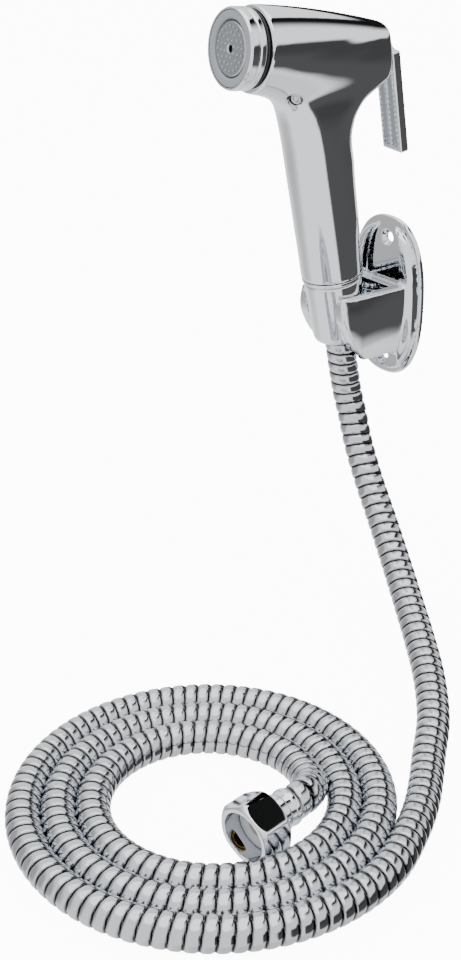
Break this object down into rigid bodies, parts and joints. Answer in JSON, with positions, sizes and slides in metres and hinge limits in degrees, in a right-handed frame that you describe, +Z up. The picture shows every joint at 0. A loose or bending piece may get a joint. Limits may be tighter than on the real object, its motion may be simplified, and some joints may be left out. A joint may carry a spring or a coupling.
{
  "type": "handheld bath sprayer",
  "caption": "Trigger spray handset on a ridged metal hose, parked nose-out in an oval wall bracket, with the hose coiled on the floor below and a hexagon end nut.",
  "frame": {"origin": "on the wall plate's flat back face, on its centre line, 2 mm below its middle", "axes": "+Y into the wall, the spray head faces -Y, +Z up"},
  "size_m": [0.2215, 0.2745, 0.2828],
  "materials": {
    "chrome": "polished plating",
    "hose_steel": "polished interlocked strip",
    "satin_chrome": "satin plating",
    "grey_plastic": "moulded",
    "white_acetal": "moulded",
    "black_rubber": "moulded",
    "grey_rubber": "moulded",
    "brass": "turned",
    "stainless_steel": "drawn"
  },
  "bodies": {
    "bracket": {"bracket": "chrome", "hose_drop": "hose_steel", "hose_coil": "hose_steel", "hose_tail": "hose_steel", "end_sleeve": "chrome", "end_insert": "brass", "end_washer": "grey_rubber"},
    "hose_end": {"top_insert": "brass", "top_sleeve": "satin_chrome", "top_washer": "black_rubber"},
    "handset": {"conical_nut": "chrome", "inlet_bush": "chrome", "core_tube": "white_acetal", "core_seal": "black_rubber", "handset_body": "chrome", "retaining_screw": "stainless_steel", "valve_housing": "white_acetal", "stem_guide": "white_acetal", "stem_o_ring": "black_rubber", "spring_retainer": "white_acetal", "valve_spring": "stainless_steel", "face_seal": "black_rubber", "nozzle_collar": "chrome", "spray_face": "grey_plastic", "spray_disc": "satin_chrome", "lever_pin": "stainless_steel"},
    "lever": {"lever": "chrome"},
    "stem": {"valve_stem": "brass", "valve_disc": "black_rubber"},
    "end_nut": {"end_nut": "chrome"}
  },
  "joints": [
    {"name": "handset_lift", "type": "slide", "parent": "bracket", "child": "hose_end", "axis": [0, -0.1736, 0.9848], "range_m": [0, 0.035]},
    {"name": "handset_swivel", "type": "hinge", "parent": "hose_end", "child": "handset", "pos_m": [0, -0.0366, 0.0203], "axis": [0, -0.1736, 0.9848], "continuous": true},
    {"name": "lever_pivot", "type": "hinge", "parent": "handset", "child": "lever", "pos_m": [0.00353, -0.01775, 0.12445], "axis": [-0.9954, 0.0944, 0.0166], "range_deg": [0, 12], "stiffness_Nm_per_rad": 1.2, "springref_deg": -17.19, "deforming": ["valve_spring"]},
    {"name": "valve_stem_push", "type": "slide", "parent": "handset", "child": "stem", "axis": [-0.0921, -0.9902, 0.1053], "range_m": [0, 0.0018]},
    {"name": "end_nut_spin", "type": "hinge", "parent": "bracket", "child": "end_nut", "pos_m": [0.1427, -0.1765, -0.1263], "axis": [0.1013, -0.993, -0.0608], "continuous": true}
  ],
  "couplings": [
    {"joint": "valve_stem_push", "follows": "lever_pivot", "m_per_rad": 0.0075}
  ]
}
